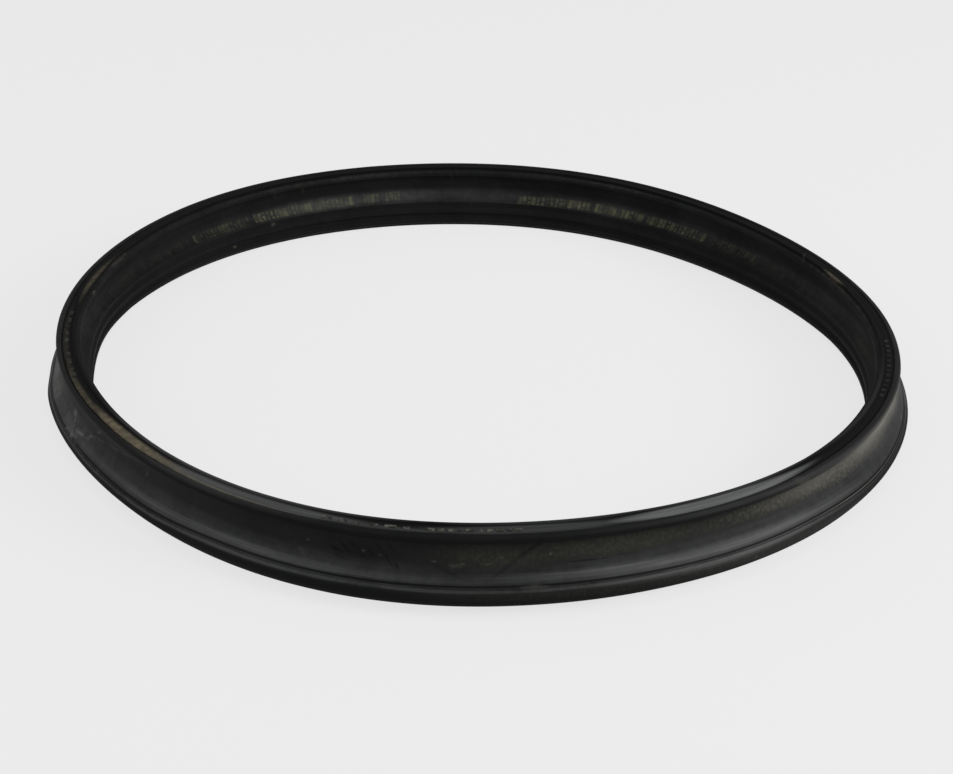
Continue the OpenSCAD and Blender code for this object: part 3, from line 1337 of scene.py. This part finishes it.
@dataclass(frozen=True)
class Studio:
    """The pale floor and the pale surroundings."""

    backdrop: float = 0.8388
    glow_share: float = 0.87
    floor_half: float = 8.0
    floor_colour: Colour = (0.8, 0.8, 0.8)
    white: Colour = (1.0, 1.0, 1.0)
    world_level: float = 0.55

    def build(self) -> None:
        """Makes the floor and the world, and sets the plain view."""
        mesh = bpy.data.meshes.new("floor")
        half = self.floor_half
        corners = [(-half, -half, 0), (half, -half, 0), (half, half, 0), (-half, half, 0)]
        mesh.from_pydata(corners, [], [(0, 1, 2, 3)])
        mesh.materials.append(self.floor_finish())
        add_object("floor", mesh)
        world = bpy.data.worlds.new("studio")
        bpy.context.scene.world = world
        graph = Graph(emptied(world))
        strength = graph.ramp(self.seen(graph), 0.0, 1.0, self.world_level, self.backdrop)
        shade = graph.get("ShaderNodeBackground", {"Color": self.white, "Strength": strength})
        graph.add("ShaderNodeOutputWorld", {"Surface": shade})
        bpy.context.scene.view_settings.view_transform = "Standard"

    def seen(self, graph: Graph) -> NodeSocket:
        """Masks the rays that see the pale background.

        Args:
            graph: The tree that is built.

        Returns:
            The mask.
        """
        rays = graph.add("ShaderNodeLightPath").outputs
        mirrored = graph.math("MAXIMUM", rays["Is Glossy Ray"], rays["Is Transmission Ray"])
        return graph.math("MAXIMUM", rays["Is Camera Ray"], mirrored)

    def floor_finish(self) -> Material:
        """Makes the floor's matt, pale finish.

        Returns:
            The material.
        """
        material = bpy.data.materials.new("pale_floor")
        graph = Graph(emptied(material))
        matt = graph.get("ShaderNodeBsdfDiffuse", {"Color": self.floor_colour})
        glow = graph.get("ShaderNodeEmission", {"Color": self.white, "Strength": self.backdrop})
        share = graph.times(self.seen(graph), self.glow_share)
        mixed = graph.get("ShaderNodeMixShader", {0: share, 1: matt, 2: glow})
        graph.add("ShaderNodeOutputMaterial", {"Surface": mixed})
        return material


def main() -> None:
    """Builds the seal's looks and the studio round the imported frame."""
    logging.basicConfig(level=logging.INFO, format="%(message)s")
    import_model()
    _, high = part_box("riser_seal")
    section = SealSection(height=high[2] / MM)
    bore_radius = high[0] - section.bead_reach * MM
    CameraPlace().build()
    for box in SOFTBOXES:
        box.build()
    Studio().build()
    soft = SoftShape().tree(high[2])
    groups = RubberGroups()
    marked = {"stains_and_sheens": STAINS_AND_SHEENS, "bars": PRINT_BARS, "slips": PRINT_SLIPS}
    rubber = RubberFinish("black_rubber", zones=tuple(Zone), **marked).build(groups)
    worn = RubberFinish("worn_pips", roughness=0.74, stains_and_sheens=(PIP_WEAR,)).build(groups)
    ring = RubberRing(section, bore_radius, soft).build(rubber)
    pips = ChannelPips(section, bore_radius, soft).build(worn)
    for piece in (ring, pips):
        LOG.info("%s: %d faces", piece.name, len(piece.data.polygons))


if __name__ == "__main__":
    main()
